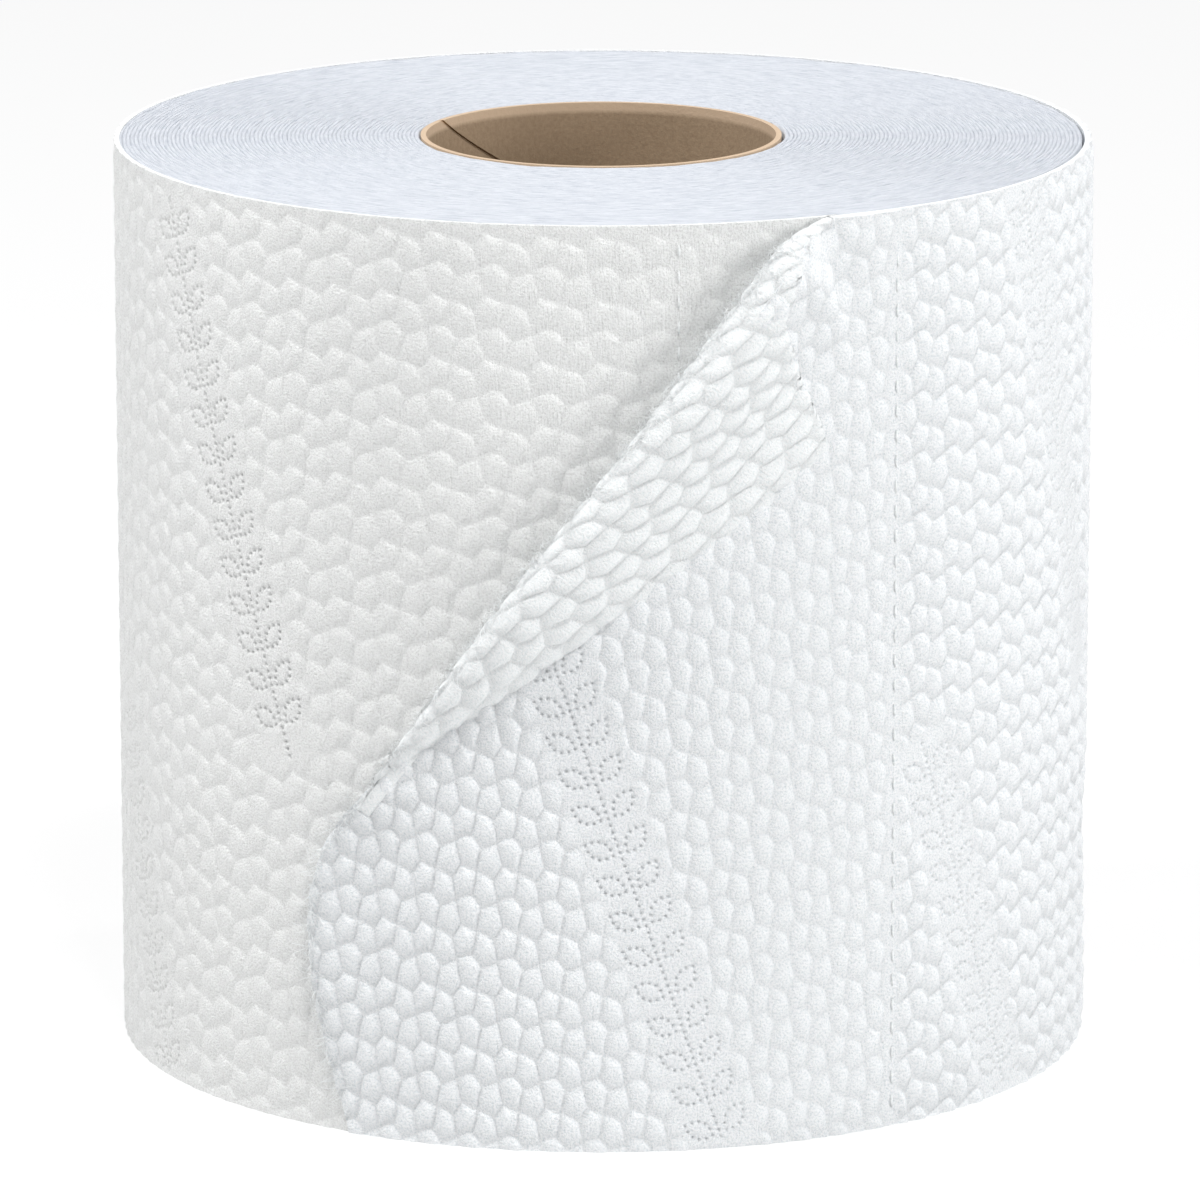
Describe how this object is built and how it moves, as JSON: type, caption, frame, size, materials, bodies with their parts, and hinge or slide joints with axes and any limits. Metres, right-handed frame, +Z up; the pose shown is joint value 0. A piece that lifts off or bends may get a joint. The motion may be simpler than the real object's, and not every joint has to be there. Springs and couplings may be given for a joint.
{
  "type": "toilet paper roll",
  "caption": "Roll of embossed tissue wound on a card core, standing on end, with the free edge of its last lap in front and a corner folded over.",
  "frame": {"origin": "on the roll's axis, at its bottom end", "axes": "+Z up along the roll's axis; -Y towards the side where the last lap ends, +X to the right of it"},
  "size_m": [0.107, 0.1106, 0.1],
  "materials": {
    "core_board": "matte, uncoated kraft board",
    "tissue": "matte, soft, embossed"
  },
  "bodies": {
    "root": {"core": "core_board", "tissue_roll": "tissue"}
  },
  "joints": []
}
